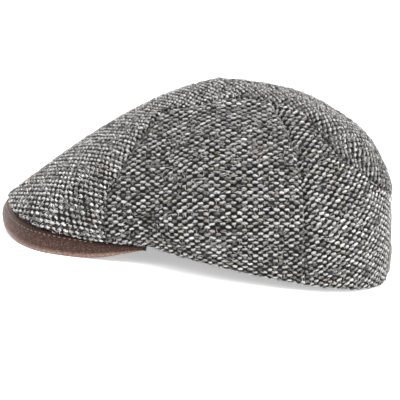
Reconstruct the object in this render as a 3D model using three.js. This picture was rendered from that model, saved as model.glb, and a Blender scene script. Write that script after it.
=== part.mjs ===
// A tweed cap with a bill-shaped leather peak, lying as it rests on a table.
// Six cloth panels form the hollow crown, which is drawn forward over the peak.
// The peak points to -Y, the wearer's left is +X, and Z is up from the surface.
import * as THREE from 'three';

// Sizes in millimetres
const openingLength = 201; // head opening, front to back, inside the rim
const openingWidth = 168; // head opening, side to side, inside the rim
const clothWall = 2.2; // tweed, doubled
const crownHeight = 125.5; // top of the crown above the surface
const crownSetForward = 38; // top of the crown, ahead of the opening's middle
const rimRise = 16.5; // how much higher the rim stands at the forehead than at the nape
const bulgeReach = 20; // swell of the sides beyond the rim
const shoulderReach = 108; // level stretch from the top of the crown to its shoulder
const shoulderDrop = 16; // fall of the crown's top along that stretch
const coverReach = 75.5; // cloth ahead of the rim, over the peak
const coverFlare = 19; // cloth out to each side over the peak's corners
const coverRise = 4; // lift of the cloth's front edge above the rim
const leatherReach = 5; // leather outward from the cloth's edge
const leatherDrop = 17; // leather downward from the cloth's edge
const leatherWall = 3; // leather over its board
const patchWidth = 40; // small plain patch at the nape
const patchHeight = 16.5;
const patchLift = 7.5; // patch's lower edge above the surface
const patchWall = 1.6;
const seamDip = 0.9; // how far each seam draws the cloth in
const seamGap = 0.36; // between two panels along a seam
const layGap = 0.35; // between two layers that lie on each other
const foldFade = 0.1; // share of the crown, at its edge, where the folds fade out

// Where things change round the head, in degrees from the forehead to the nape
const frontSeamAzimuth = 42;
const quarterSeamAzimuth = 111.6;
const peakEndAzimuth = 47.5;

// Share of the rim's length, at the nape, that lies flat on the surface
const restShare = 0.06;

// Share by which the opening is fuller than an ellipse at its four corners
const cornerFullness = 0.06;

// The cloth's edge ahead of the rim: shares of coverReach, coverFlare and coverRise
const coverRows = [
  { azimuth: 0, reach: 1, flare: 0, rise: 1 },
  { azimuth: 15, reach: 0.91, flare: 0.8, rise: 0.35 },
  { azimuth: 30, reach: 0.71, flare: 0.98, rise: -0.1 },
  { azimuth: 40, reach: 0.35, flare: 0.59, rise: -0.5 },
  { azimuth: 50, reach: 0, flare: 0.05, rise: 0 },
  { azimuth: 60, reach: 0, flare: 0, rise: 0 },
  { azimuth: 180, reach: 0, flare: 0, rise: 0 },
];

// The leather's edge beyond the cloth's edge: shares of leatherReach and leatherDrop
const leatherRows = [
  { azimuth: 0, reach: 0.45, drop: 0.8 },
  { azimuth: 15, reach: 0.7, drop: 0.91 },
  { azimuth: 30, reach: 1.15, drop: 0.92 },
  { azimuth: 40, reach: 0.5, drop: 0.63 },
  { azimuth: 50, reach: 0, drop: 0.1 },
];

// The crown's profile from its edge to its top: bulge is a share of bulgeReach, rise of
// crownHeight, shoulder of shoulderReach and fall of shoulderDrop
const profileRows = [
  { azimuth: 0, bulge: -1.33, rise: 0.197, shoulder: 0.522, fall: 1.03 },
  { azimuth: 25, bulge: -0.5, rise: 0.208, shoulder: 0.438, fall: 0.86 },
  { azimuth: 45, bulge: 1, rise: 0.278, shoulder: 0.427, fall: 0.58 },
  { azimuth: 65, bulge: 1.6, rise: 0.37, shoulder: 0.476, fall: 0.37 },
  { azimuth: 90, bulge: 1.2, rise: 0.482, shoulder: 0.57, fall: 0.2 },
  { azimuth: 120, bulge: 0.85, rise: 0.58, shoulder: 0.756, fall: 0 },
  { azimuth: 150, bulge: 0.1, rise: 0.72, shoulder: 0.994, fall: 0.03 },
  { azimuth: 180, bulge: -0.1, rise: 0.71, shoulder: 1.11, fall: 0.38 },
];

// Seams on the crown: shares of the way from its top to its edge, across and along
const frontSeamRows = [
  { across: Math.sin(THREE.MathUtils.degToRad(frontSeamAzimuth)),
    along: -Math.cos(THREE.MathUtils.degToRad(frontSeamAzimuth)) },
  { across: 0.54, along: -0.62 },
  { across: 0.44, along: -0.522 },
  { across: 0.35, along: -0.43 },
  { across: 0.265, along: -0.345 },
  { across: 0.205, along: -0.285 },
  { across: 0.17, along: -0.24 },
];
const crestSeamRows = [
  { across: 0.17, along: -0.24 },
  { across: 0.188, along: -0.18 },
  { across: 0.193, along: -0.115 },
  { across: 0.185, along: -0.05 },
  { across: 0.18, along: 0.02 },
];
const crossSeamRows = [
  { across: 0, along: 0.008 },
  { across: 0.045, along: 0.006 },
  { across: 0.09, along: 0.004 },
  { across: 0.14, along: 0.009 },
  { across: 0.18, along: 0.02 },
];
const junctionSeamRows = [
  { across: 0.18, along: 0.02 },
  { across: 0.187, along: 0.065 },
  { across: 0.182, along: 0.11 },
];
const yokeSeamRows = [
  { across: 0.182, along: 0.11 },
  { across: 0.193, along: 0.165 },
  { across: 0.225, along: 0.217 },
  { across: 0.29, along: 0.256 },
  { across: 0.36, along: 0.303 },
  { across: 0.392, along: 0.37 },
  { across: 0.388, along: 0.45 },
  { across: 0.365, along: 0.525 },
];
const backYokeSeamRows = [
  { across: 0.365, along: 0.525 },
  { across: 0.31, along: 0.605 },
  { across: 0.22, along: 0.675 },
  { across: 0.11, along: 0.72 },
  { across: 0, along: 0.735 },
];
const quarterSeamRows = [
  { across: 0.182, along: 0.11 },
  { across: 0.3, along: 0.132 },
  { across: 0.42, along: 0.157 },
  { across: 0.56, along: 0.182 },
  { across: 0.7, along: 0.21 },
  { across: 0.8, along: 0.245 },
  { across: 0.88, along: 0.3 },
  { across: Math.sin(THREE.MathUtils.degToRad(quarterSeamAzimuth)),
    along: -Math.cos(THREE.MathUtils.degToRad(quarterSeamAzimuth)) },
];

// Soft dents and swells of the cloth. Place and spans are shares as the seams' are, turn is in
// degrees from across to along, and lift is a share of the cloth's wall, inward where negative.
const foldRows = [
  { across: 0.32, along: 0.41, span: 0.16, width: 0.045, turn: 72, lift: -1.5 },
  { across: 0.4, along: 0.27, span: 0.12, width: 0.05, turn: 50, lift: 0.8 },
  { across: 0, along: 0.2, span: 0.22, width: 0.13, turn: 0, lift: 0.9 },
  { across: 0, along: 0.46, span: 0.24, width: 0.1, turn: 0, lift: 0.9 },
  { across: 0.58, along: 0.19, span: 0.1, width: 0.05, turn: 10, lift: -0.7 },
  { across: 0.25, along: -0.02, span: 0.14, width: 0.04, turn: 90, lift: -0.6 },
];

// Facets along each seam and edge, and those of the two smaller pieces
const facets = { front: 14, crest: 6, junction: 2, cover: 20, yoke: 9, backYoke: 6 };
const peakFacets = 26;
const patchFacets = { across: 6, up: 3 };

// The peak's section between the rim and its edge, as shares of each stretch
const peakMiddle = 0.55;
const hemMiddle = 0.5;
const hemSwell = 0.2;

// A place this near the crown's edge belongs to the edge
const edgeShare = 0.999;

const rimHalfLength = openingLength / 2 + clothWall;
const rimHalfWidth = openingWidth / 2 + clothWall;

// A smooth value through a table's rows that never runs past them
function rowValue(rows, column, azimuth) {
  const last = rows.length - 1;
  const at = THREE.MathUtils.clamp(Math.abs(azimuth), rows[0].azimuth, rows[last].azimuth);
  const stretch = (i) => rows[i + 1].azimuth - rows[i].azimuth;
  const slope = (i) => (rows[i + 1][column] - rows[i][column]) / stretch(i);
  const tangent = (i) => {
    const turns = i === 0 || i === last || slope(i - 1) * slope(i) <= 0;
    return turns ? 0 : (2 * slope(i - 1) * slope(i)) / (slope(i - 1) + slope(i));
  };
  let i = 0;
  while (i < last - 1 && at >= rows[i + 1].azimuth) {
    i += 1;
  }
  const u = (at - rows[i].azimuth) / stretch(i);
  const rise = 3 * u ** 2 - 2 * u ** 3;
  const values = (1 - rise) * rows[i][column] + rise * rows[i + 1][column];
  const bends = (u ** 3 - 2 * u ** 2 + u) * tangent(i) + (u ** 3 - u ** 2) * tangent(i + 1);
  return values + stretch(i) * bends;
}

// Outer edge of the rim round the head
function rimPoint(azimuth) {
  const angle = THREE.MathUtils.degToRad(azimuth);
  const forward = (1 + Math.cos(angle)) / 2;
  const height = rimRise * Math.max(0, (forward - restShare) / (1 - restShare));
  const full = 1 + cornerFullness * Math.sin(2 * angle) ** 2;
  const side = rimHalfWidth * full * Math.sin(angle);
  const back = -rimHalfLength * full * Math.cos(angle);
  return new THREE.Vector3(side, back, height);
}

// Lower edge of the cloth: the rim, and ahead of it the edge that lies on the peak
function clothEdge(azimuth) {
  const point = rimPoint(azimuth);
  point.x += Math.sign(azimuth) * coverFlare * rowValue(coverRows, 'flare', azimuth);
  point.y -= coverReach * rowValue(coverRows, 'reach', azimuth);
  point.z += coverRise * rowValue(coverRows, 'rise', azimuth);
  return point;
}

// The crown's outer surface before its folds: each upright profile is one cubic curve
function crownProfile(azimuth, share) {
  const edge = clothEdge(azimuth);
  const away = new THREE.Vector2(edge.x, edge.y + crownSetForward);
  const reach = away.length();
  away.normalize();
  const t = 1 - share;
  const weights = [share ** 3, 3 * t * share ** 2, 3 * t ** 2 * share, t ** 3];
  const bulge = reach + bulgeReach * rowValue(profileRows, 'bulge', azimuth);
  const shoulder = shoulderReach * rowValue(profileRows, 'shoulder', azimuth);
  const radius = weights[0] * reach + weights[1] * bulge + weights[2] * shoulder;
  const bulgeHeight = edge.z + crownHeight * rowValue(profileRows, 'rise', azimuth);
  const shoulderHeight = crownHeight - shoulderDrop * rowValue(profileRows, 'fall', azimuth);
  const height = weights[0] * edge.z + weights[1] * bulgeHeight + weights[2] * shoulderHeight
    + weights[3] * crownHeight;
  return new THREE.Vector3(away.x * radius, away.y * radius - crownSetForward, height);
}

function plainPoint(across, along) {
  const azimuth = THREE.MathUtils.radToDeg(Math.atan2(across, -along));
  return crownProfile(azimuth, Math.hypot(across, along));
}

// Outward direction of the crown, from its slope both ways
function crownNormal(across, along) {
  const step = 0.012; // share to each side over which the slope is taken
  const sideways = plainPoint(across + step, along).sub(plainPoint(across - step, along));
  const backward = plainPoint(across, along + step).sub(plainPoint(across, along - step));
  return sideways.cross(backward).normalize();
}

// How far the folds lift the cloth, alike on both sides, fading out toward its lower edge
function foldLift(across, along) {
  let lift = 0;
  for (const fold of foldRows) {
    const turn = THREE.MathUtils.degToRad(fold.turn);
    const dx = Math.abs(across) - fold.across;
    const dy = along - fold.along;
    const lengthwise = (dx * Math.cos(turn) + dy * Math.sin(turn)) / fold.span;
    const crosswise = (dy * Math.cos(turn) - dx * Math.sin(turn)) / fold.width;
    lift += fold.lift * Math.exp(-(lengthwise ** 2) - crosswise ** 2);
  }
  const inside = Math.max(0, 1 - Math.hypot(across, along));
  return lift * clothWall * Math.min(1, inside / foldFade);
}

function crownPoint(across, along) {
  const lift = foldLift(across, along);
  return plainPoint(across, along).addScaledVector(crownNormal(across, along), lift);
}

// Place at a share of the way from the crown's top to its edge
function placeOn(azimuth, share) {
  const angle = THREE.MathUtils.degToRad(azimuth);
  return new THREE.Vector3(share * Math.sin(angle), -share * Math.cos(angle), 0);
}

// Points along a seam's rows, evenly spaced on the crown, on the wearer's left or right
function seamPoints(rows, count, side = 1) {
  const places = rows.map((row) => new THREE.Vector3(side * row.across, row.along, 0));
  const curve = new THREE.CatmullRomCurve3(places, false, 'centripetal');
  return evenly((share) => curve.getPoint(share), count);
}

function edgePoints(fromAzimuth, toAzimuth, count) {
  const placeAt = (share) => placeOn(THREE.MathUtils.lerp(fromAzimuth, toAzimuth, share), 1);
  return evenly(placeAt, count);
}

function evenly(pointAt, count) {
  const fine = 200; // steps in which the curve's length is measured
  const places = Array.from({ length: fine + 1 }, (_, i) => pointAt(i / fine));
  const onCrown = places.map((place) => plainPoint(place.x, place.y));
  const run = [0];
  for (let i = 1; i <= fine; i += 1) {
    run.push(run[i - 1] + onCrown[i].distanceTo(onCrown[i - 1]));
  }
  const spaced = [];
  let i = 0;
  for (let k = 0; k <= count; k += 1) {
    const goal = (run[fine] * k) / count;
    while (i < fine - 1 && run[i + 1] < goal) {
      i += 1;
    }
    const share = (goal - run[i]) / (run[i + 1] - run[i]);
    spaced.push(pointAt((i + share) / fine));
  }
  return spaced;
}

// Shares inside four edges, blended from the edges; bottom and top run from left to right
function fillEdges(bottom, top, left, right) {
  const columns = bottom.length - 1;
  const rows = left.length - 1;
  const grid = [];
  for (let i = 0; i <= columns; i += 1) {
    const u = i / columns;
    grid.push([]);
    for (let j = 0; j <= rows; j += 1) {
      const v = j / rows;
      const place = new THREE.Vector3();
      place.addScaledVector(bottom[i], 1 - v).addScaledVector(top[i], v);
      place.addScaledVector(left[j], 1 - u).addScaledVector(right[j], u);
      place.addScaledVector(bottom[0], -(1 - u) * (1 - v));
      place.addScaledVector(bottom[columns], -u * (1 - v));
      place.addScaledVector(top[0], -(1 - u) * v).addScaledVector(top[columns], -u * v);
      grid[i].push(place);
    }
  }
  return grid;
}

// One closed solid between an outer and an inner grid of points
function wallBetween(outer, inner) {
  const columns = outer.length;
  const rows = outer[0].length;
  const points = [...outer.flat(), ...inner.flat()];
  const index = [];
  const at = (layer, i, j) => layer * columns * rows + i * rows + j;
  const quad = (a, b, c, d) => {
    index.push(a, b, c, a, c, d);
  };
  for (let i = 0; i < columns - 1; i += 1) {
    for (let j = 0; j < rows - 1; j += 1) {
      quad(at(0, i, j), at(0, i + 1, j), at(0, i + 1, j + 1), at(0, i, j + 1));
      quad(at(1, i, j), at(1, i, j + 1), at(1, i + 1, j + 1), at(1, i + 1, j));
    }
  }
  for (let i = 0; i < columns - 1; i += 1) {
    quad(at(0, i, 0), at(1, i, 0), at(1, i + 1, 0), at(0, i + 1, 0));
    quad(at(0, i, rows - 1), at(0, i + 1, rows - 1), at(1, i + 1, rows - 1), at(1, i, rows - 1));
  }
  const end = columns - 1;
  for (let j = 0; j < rows - 1; j += 1) {
    quad(at(0, 0, j), at(0, 0, j + 1), at(1, 0, j + 1), at(1, 0, j));
    quad(at(0, end, j), at(1, end, j), at(1, end, j + 1), at(0, end, j + 1));
  }
  let volume = 0;
  for (let k = 0; k < index.length; k += 3) {
    const [a, b, c] = [points[index[k]], points[index[k + 1]], points[index[k + 2]]];
    volume += a.dot(new THREE.Vector3().crossVectors(b, c));
  }
  if (volume < 0) {
    index.reverse();
  }
  const geometry = new THREE.BufferGeometry();
  const numbers = points.flatMap((point) => point.toArray());
  geometry.setAttribute('position', new THREE.Float32BufferAttribute(numbers, 3));
  geometry.setIndex(index);
  geometry.computeVertexNormals();
  return geometry;
}

const onEdge = (place) => place.length() > edgeShare;

// Way from the outer to the inner side of the wall. It is level at the rim, so that the rim is
// flat, and never rises at the edge ahead of the rim.
function inwardWay(place) {
  const way = crownNormal(place.x, place.y).negate();
  const azimuth = THREE.MathUtils.radToDeg(Math.atan2(place.x, -place.y));
  if (onEdge(place)) {
    way.z = Math.abs(azimuth) > peakEndAzimuth ? 0 : Math.min(way.z, 0);
  }
  return way.normalize();
}

// A cloth panel: the grid laid on the crown, drawn in at its seams and given its wall
function clothPanel(grid, seams) {
  const columns = grid.length - 1;
  const rows = grid[0].length - 1;
  const plain = grid.map((column) => column.map((place) => crownPoint(place.x, place.y)));
  const drawn = plain.map((column, i) => column.map((point, j) => {
    const moved = point.clone();
    const neighbours = [
      seams.left && i === 0 && plain[1][j],
      seams.right && i === columns && plain[columns - 1][j],
      seams.bottom && j === 0 && plain[i][1],
      seams.top && j === rows && plain[i][rows - 1],
    ].filter(Boolean);
    for (const neighbour of neighbours) {
      moved.addScaledVector(neighbour.clone().sub(point).normalize(), seamGap / 2);
    }
    if (neighbours.length > 0 && !onEdge(grid[i][j])) {
      moved.addScaledVector(inwardWay(grid[i][j]), seamDip);
    }
    return moved;
  }));
  const inner = drawn.map((column, i) => column.map((point, j) =>
    point.clone().addScaledVector(inwardWay(grid[i][j]), clothWall)));
  return wallBetween(drawn, inner);
}

const bothSides = (rows, count) => [
  ...seamPoints(rows, count, -1).reverse(),
  ...seamPoints(rows, count, 1).slice(1),
];

function frontPanel() {
  const side = (sign) => [
    ...seamPoints(frontSeamRows, facets.front, sign),
    ...seamPoints(crestSeamRows, facets.crest, sign).slice(1),
  ];
  const cover = edgePoints(-frontSeamAzimuth, frontSeamAzimuth, facets.cover);
  const cross = bothSides(crossSeamRows, facets.cover / 2);
  const grid = fillEdges(cover, cross, side(-1), side(1));
  return clothPanel(grid, { left: true, right: true, top: true });
}

function backPanel() {
  const side = (sign) => [
    ...seamPoints(junctionSeamRows, facets.junction, sign),
    ...seamPoints(yokeSeamRows, facets.yoke, sign).slice(1),
  ];
  const cross = bothSides(crossSeamRows, facets.backYoke);
  const yoke = bothSides(backYokeSeamRows.slice().reverse(), facets.backYoke);
  const grid = fillEdges(cross, yoke, side(-1), side(1));
  return clothPanel(grid, { left: true, right: true, top: true, bottom: true });
}

function sidePanel(sign) {
  const crest = [
    ...seamPoints(crestSeamRows, facets.crest, sign),
    ...seamPoints(junctionSeamRows, facets.junction, sign).slice(1),
  ];
  const count = facets.crest + facets.junction;
  const rim = edgePoints(sign * frontSeamAzimuth, sign * quarterSeamAzimuth, count);
  const front = seamPoints(frontSeamRows, facets.front, sign);
  const quarter = seamPoints(quarterSeamRows.slice().reverse(), facets.front, sign);
  const grid = fillEdges(rim, crest, front, quarter);
  return clothPanel(grid, { left: true, right: true, top: true });
}

function backQuarter(sign) {
  const yoke = [
    ...seamPoints(yokeSeamRows, facets.yoke, sign),
    ...seamPoints(backYokeSeamRows, facets.backYoke, sign).slice(1),
  ];
  const count = facets.yoke + facets.backYoke;
  const rim = edgePoints(sign * quarterSeamAzimuth, sign * 180, count);
  const quarter = seamPoints(quarterSeamRows.slice().reverse(), facets.front, sign);
  const napeTop = backYokeSeamRows[backYokeSeamRows.length - 1].along;
  const nape = evenly((share) => placeOn(180, THREE.MathUtils.lerp(1, napeTop, share)), facets.front);
  const grid = fillEdges(rim, yoke, quarter, nape);
  return clothPanel(grid, { left: true, right: true, top: true });
}

// The leather's own edge, outward and down from the cloth's edge, and never below the surface
function leatherEdge(azimuth) {
  const step = 0.5; // degrees to each side over which the edge's way is taken
  const run = clothEdge(azimuth + step).sub(clothEdge(azimuth - step));
  const outward = new THREE.Vector3(run.y, -run.x, 0).normalize();
  const reach = leatherReach * rowValue(leatherRows, 'reach', azimuth);
  const point = clothEdge(azimuth).addScaledVector(outward, reach);
  point.z = Math.max(0, point.z - leatherDrop * rowValue(leatherRows, 'drop', azimuth));
  return point;
}

// The peak runs from the rim, flat under the cloth, and turns down past the cloth's edge
function peak() {
  const grid = [];
  for (let i = 0; i <= peakFacets; i += 1) {
    const azimuth = THREE.MathUtils.lerp(-peakEndAzimuth, peakEndAzimuth, i / peakFacets);
    const root = rimPoint(azimuth);
    root.z -= 2 * layGap;
    const inward = inwardWay(placeOn(azimuth, 1));
    const under = clothEdge(azimuth).addScaledVector(inward, clothWall + layGap);
    under.z -= layGap;
    const edge = leatherEdge(azimuth);
    const outward = edge.clone().sub(under).setZ(0);
    const hem = under.clone().lerp(edge, hemMiddle).addScaledVector(outward, hemSwell);
    grid.push([root, root.clone().lerp(under, peakMiddle), under, hem, edge]);
  }
  const lower = grid.map((column, i) => column.map((point, j) => {
    const before = grid[Math.max(0, i - 1)][j];
    const after = grid[Math.min(peakFacets, i + 1)][j];
    const back = column[Math.max(0, j - 1)];
    const ahead = column[Math.min(column.length - 1, j + 1)];
    const normal = after.clone().sub(before).cross(ahead.clone().sub(back)).normalize();
    if (normal.z < 0) {
      normal.negate();
    }
    const below = point.clone().addScaledVector(normal, -leatherWall);
    below.z = Math.max(0, below.z);
    return below;
  }));
  return wallBetween(grid, lower);
}

// The patch follows the crown at the nape, at even heights above the surface
function napePatch() {
  const halfSpan = THREE.MathUtils.radToDeg(Math.asin(patchWidth / 2 / rimHalfWidth));
  const halvings = 30;
  const placeAt = (azimuth, height) => {
    let above = 0;
    let below = 1;
    for (let k = 0; k < halvings; k += 1) {
      const middle = (above + below) / 2;
      const isAbove = crownProfile(azimuth, middle).z > height;
      above = isAbove ? middle : above;
      below = isAbove ? below : middle;
    }
    return placeOn(azimuth, below);
  };
  const layer = (stand) => Array.from({ length: patchFacets.across + 1 }, (_, i) => {
    const azimuth = 180 + halfSpan * ((2 * i) / patchFacets.across - 1);
    return Array.from({ length: patchFacets.up + 1 }, (__, j) => {
      const place = placeAt(azimuth, patchLift + (patchHeight * j) / patchFacets.up);
      return plainPoint(place.x, place.y).addScaledVector(inwardWay(place), -stand);
    });
  });
  return wallBetween(layer(layGap + patchWall), layer(layGap));
}

const hat = new THREE.Group();

function addPiece(name, geometry, finish) {
  const piece = new THREE.Mesh(geometry, new THREE.MeshStandardMaterial(finish));
  piece.name = name;
  hat.add(piece);
}

const tweed = { color: 0x777370, roughness: 0.95, metalness: 0 };
const leather = { color: 0x513a33, roughness: 0.5, metalness: 0 };
const patchLeather = { color: 0x6e5148, roughness: 0.6, metalness: 0 };

addPiece('front_panel', frontPanel(), tweed);
addPiece('back_panel', backPanel(), tweed);
addPiece('side_panel_left', sidePanel(1), tweed);
addPiece('side_panel_right', sidePanel(-1), tweed);
addPiece('back_quarter_left', backQuarter(1), tweed);
addPiece('back_quarter_right', backQuarter(-1), tweed);
addPiece('peak', peak(), leather);
addPiece('nape_patch', napePatch(), patchLeather);

// The origin is on the surface, under the middle of the cap
const box = new THREE.Box3().setFromObject(hat);
hat.position.set(-(box.min.x + box.max.x) / 2, -(box.min.y + box.max.y) / 2, -box.min.z);

export default hat;
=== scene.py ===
# Tweed cap with a short leather peak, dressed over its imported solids
import math

import bpy
import numpy as np
from mathutils import Matrix, Vector


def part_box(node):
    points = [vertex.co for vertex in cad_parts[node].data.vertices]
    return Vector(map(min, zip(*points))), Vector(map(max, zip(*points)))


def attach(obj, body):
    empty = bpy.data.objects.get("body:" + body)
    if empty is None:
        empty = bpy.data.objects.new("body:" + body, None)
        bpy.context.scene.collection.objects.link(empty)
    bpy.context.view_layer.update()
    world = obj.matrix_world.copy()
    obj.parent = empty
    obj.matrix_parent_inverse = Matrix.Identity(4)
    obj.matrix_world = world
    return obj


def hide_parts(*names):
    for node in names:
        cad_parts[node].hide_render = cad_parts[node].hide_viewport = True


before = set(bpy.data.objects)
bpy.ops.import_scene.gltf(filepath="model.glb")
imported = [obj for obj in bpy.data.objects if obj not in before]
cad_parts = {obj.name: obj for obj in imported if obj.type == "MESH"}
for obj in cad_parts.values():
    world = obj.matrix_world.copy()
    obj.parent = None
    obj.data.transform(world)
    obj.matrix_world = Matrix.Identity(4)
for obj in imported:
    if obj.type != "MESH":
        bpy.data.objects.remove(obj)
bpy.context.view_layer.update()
mm = 0.001
body = "root"
rng = np.random.default_rng(58)

# The cap's sizes in millimetres, the same as the solids'
crown = dict(
    openingLength=201, openingWidth=168, clothWall=2.2, height=125.5, setForward=38,
    rimRise=16.5, restShare=0.06, cornerFullness=0.06, bulgeReach=20,
    shoulderReach=108, shoulderDrop=16, coverReach=75.5, coverFlare=19, coverRise=4,
    foldFade=0.1, frontSeam=42, quarterSeam=111.6, peakEnd=47.5,
    leatherReach=5, leatherDrop=17, leatherWall=3, layGap=0.35,
)
rimHalfLength = crown["openingLength"] / 2 + crown["clothWall"]
rimHalfWidth = crown["openingWidth"] / 2 + crown["clothWall"]
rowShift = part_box("back_quarter_left")[1].y / mm - rimHalfLength  # the opening's middle in the frame

coverRows = dict(
    azimuth=[0, 15, 30, 40, 50, 60, 180],
    reach=[1, 0.91, 0.71, 0.35, 0, 0, 0],
    flare=[0, 0.8, 0.98, 0.59, 0.05, 0, 0],
    rise=[1, 0.35, -0.1, -0.5, 0, 0, 0],
)
leatherRows = dict(
    azimuth=[0, 15, 30, 40, 50],
    reach=[0.45, 0.7, 1.15, 0.5, 0],
    drop=[0.8, 0.91, 0.92, 0.63, 0.1],
)
profileRows = dict(
    azimuth=[0, 25, 45, 65, 90, 120, 150, 180],
    bulge=[-1.33, -0.5, 1, 1.6, 1.2, 0.85, 0.1, -0.1],
    rise=[0.197, 0.208, 0.278, 0.37, 0.482, 0.58, 0.72, 0.71],
    shoulder=[0.522, 0.438, 0.427, 0.476, 0.57, 0.756, 0.994, 1.11],
    fall=[1.03, 0.86, 0.58, 0.37, 0.2, 0, 0.03, 0.38],
)
foldRows = [  # across, along, span, width, turn and lift
    (0.32, 0.41, 0.16, 0.045, 72, -1.5),
    (0.4, 0.27, 0.12, 0.05, 50, 0.8),
    (0, 0.2, 0.22, 0.13, 0, 0.9),
    (0, 0.46, 0.24, 0.1, 0, 0.9),
    (0.58, 0.19, 0.1, 0.05, 10, -0.7),
    (0.25, -0.02, 0.14, 0.04, 90, -0.6),
]


def onRim(azimuth):
    angle = math.radians(azimuth)
    return (math.sin(angle), -math.cos(angle))


# Seams as shares across and along, from the crown's top out to its edge
seams = dict(
    front=[onRim(crown["frontSeam"]), (0.54, -0.62), (0.44, -0.522), (0.35, -0.43),
           (0.265, -0.345), (0.205, -0.285), (0.17, -0.24)],
    crest=[(0.17, -0.24), (0.188, -0.18), (0.193, -0.115), (0.185, -0.05), (0.18, 0.02)],
    cross=[(0, 0.008), (0.045, 0.006), (0.09, 0.004), (0.14, 0.009), (0.18, 0.02)],
    junction=[(0.18, 0.02), (0.187, 0.065), (0.182, 0.11)],
    yoke=[(0.182, 0.11), (0.193, 0.165), (0.225, 0.217), (0.29, 0.256), (0.36, 0.303),
          (0.392, 0.37), (0.388, 0.45), (0.365, 0.525)],
    backYoke=[(0.365, 0.525), (0.31, 0.605), (0.22, 0.675), (0.11, 0.72), (0, 0.735)],
    quarter=[onRim(crown["quarterSeam"]), (0.88, 0.3), (0.8, 0.245), (0.7, 0.21),
             (0.56, 0.182), (0.42, 0.157), (0.3, 0.132), (0.182, 0.11)],
    nape=[(0, 1), (0, 0.9), (0, 0.735)],
)


def rowValue(rows, column, azimuth):
    # a smooth value through the rows that never runs past them
    xs = np.array(rows["azimuth"], float)
    ys = np.array(rows[column], float)
    slope = np.diff(ys) / np.diff(xs)
    before, after = slope[:-1], slope[1:]
    tangent = np.zeros(len(xs))
    same = before * after > 0
    tangent[1:-1][same] = (2 * before * after / (before + after + 1e-12))[same]
    at = np.clip(np.abs(azimuth), xs[0], xs[-1])
    i = np.clip(np.searchsorted(xs, at, side="right") - 1, 0, len(xs) - 2)
    step = xs[i + 1] - xs[i]
    u = (at - xs[i]) / step
    rise = 3 * u**2 - 2 * u**3
    bends = (u**3 - 2 * u**2 + u) * tangent[i] + (u**3 - u**2) * tangent[i + 1]
    return (1 - rise) * ys[i] + rise * ys[i + 1] + step * bends


def rimEdge(azimuth):
    angle = np.radians(azimuth)
    forward = (1 + np.cos(angle)) / 2
    height = crown["rimRise"] * np.maximum(0, (forward - crown["restShare"]) / (1 - crown["restShare"]))
    full = 1 + crown["cornerFullness"] * np.sin(2 * angle) ** 2
    side = rimHalfWidth * full * np.sin(angle)
    return np.stack([side, -rimHalfLength * full * np.cos(angle), height], -1)


def clothEdge(azimuth):
    edge = rimEdge(azimuth)
    edge[..., 0] += np.sign(azimuth) * crown["coverFlare"] * rowValue(coverRows, "flare", azimuth)
    edge[..., 1] -= crown["coverReach"] * rowValue(coverRows, "reach", azimuth)
    edge[..., 2] += crown["coverRise"] * rowValue(coverRows, "rise", azimuth)
    return edge


def plainCrown(place):
    # each upright profile of the crown is one cubic curve from its edge to the top
    azimuth = np.degrees(np.arctan2(place[..., 0], -place[..., 1]))
    share = np.hypot(place[..., 0], place[..., 1])
    edge = clothEdge(azimuth)
    away = edge[..., :2] + (0, crown["setForward"])
    reach = np.linalg.norm(away, axis=-1)
    away = away / reach[..., None]
    t = 1 - share
    weights = [share**3, 3 * t * share**2, 3 * t**2 * share, t**3]
    bulge = reach + crown["bulgeReach"] * rowValue(profileRows, "bulge", azimuth)
    shoulder = crown["shoulderReach"] * rowValue(profileRows, "shoulder", azimuth)
    radius = weights[0] * reach + weights[1] * bulge + weights[2] * shoulder
    bulgeHeight = edge[..., 2] + crown["height"] * rowValue(profileRows, "rise", azimuth)
    shoulderHeight = crown["height"] - crown["shoulderDrop"] * rowValue(profileRows, "fall", azimuth)
    height = (weights[0] * edge[..., 2] + weights[1] * bulgeHeight
              + weights[2] * shoulderHeight + weights[3] * crown["height"])
    back = away[..., 1] * radius - crown["setForward"] + rowShift
    return np.stack([away[..., 0] * radius, back, height], -1)


def unit(vectors):
    return vectors / np.maximum(np.linalg.norm(vectors, axis=-1, keepdims=True), 1e-9)


def crownNormal(place):
    step = 0.012
    sideways = plainCrown(place + (step, 0)) - plainCrown(place - (step, 0))
    backward = plainCrown(place + (0, step)) - plainCrown(place - (0, step))
    return unit(np.cross(sideways, backward))


def crownPoint(place):
    lift = np.zeros(place.shape[:-1])
    for across, along, span, width, turn, height in foldRows:
        angle = math.radians(turn)
        dx = np.abs(place[..., 0]) - across
        dy = place[..., 1] - along
        lengthwise = (dx * math.cos(angle) + dy * math.sin(angle)) / span
        crosswise = (dy * math.cos(angle) - dx * math.sin(angle)) / width
        lift += height * np.exp(-(lengthwise**2) - crosswise**2)
    inside = np.clip(1 - np.hypot(place[..., 0], place[..., 1]), 0, crown["foldFade"])
    lift *= crown["clothWall"] * inside / crown["foldFade"]
    return plainCrown(place) + crownNormal(place) * lift[..., None]


def evenly(places, count):
    # the same way again, with its points evenly spaced on the crown
    run = np.linalg.norm(np.diff(plainCrown(places), axis=0), axis=1)
    run = np.concatenate([[0], np.cumsum(run)])
    goals = np.linspace(0, run[-1], count + 1)
    return np.stack([np.interp(goals, run, places[:, k]) for k in (0, 1)], -1)


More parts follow.
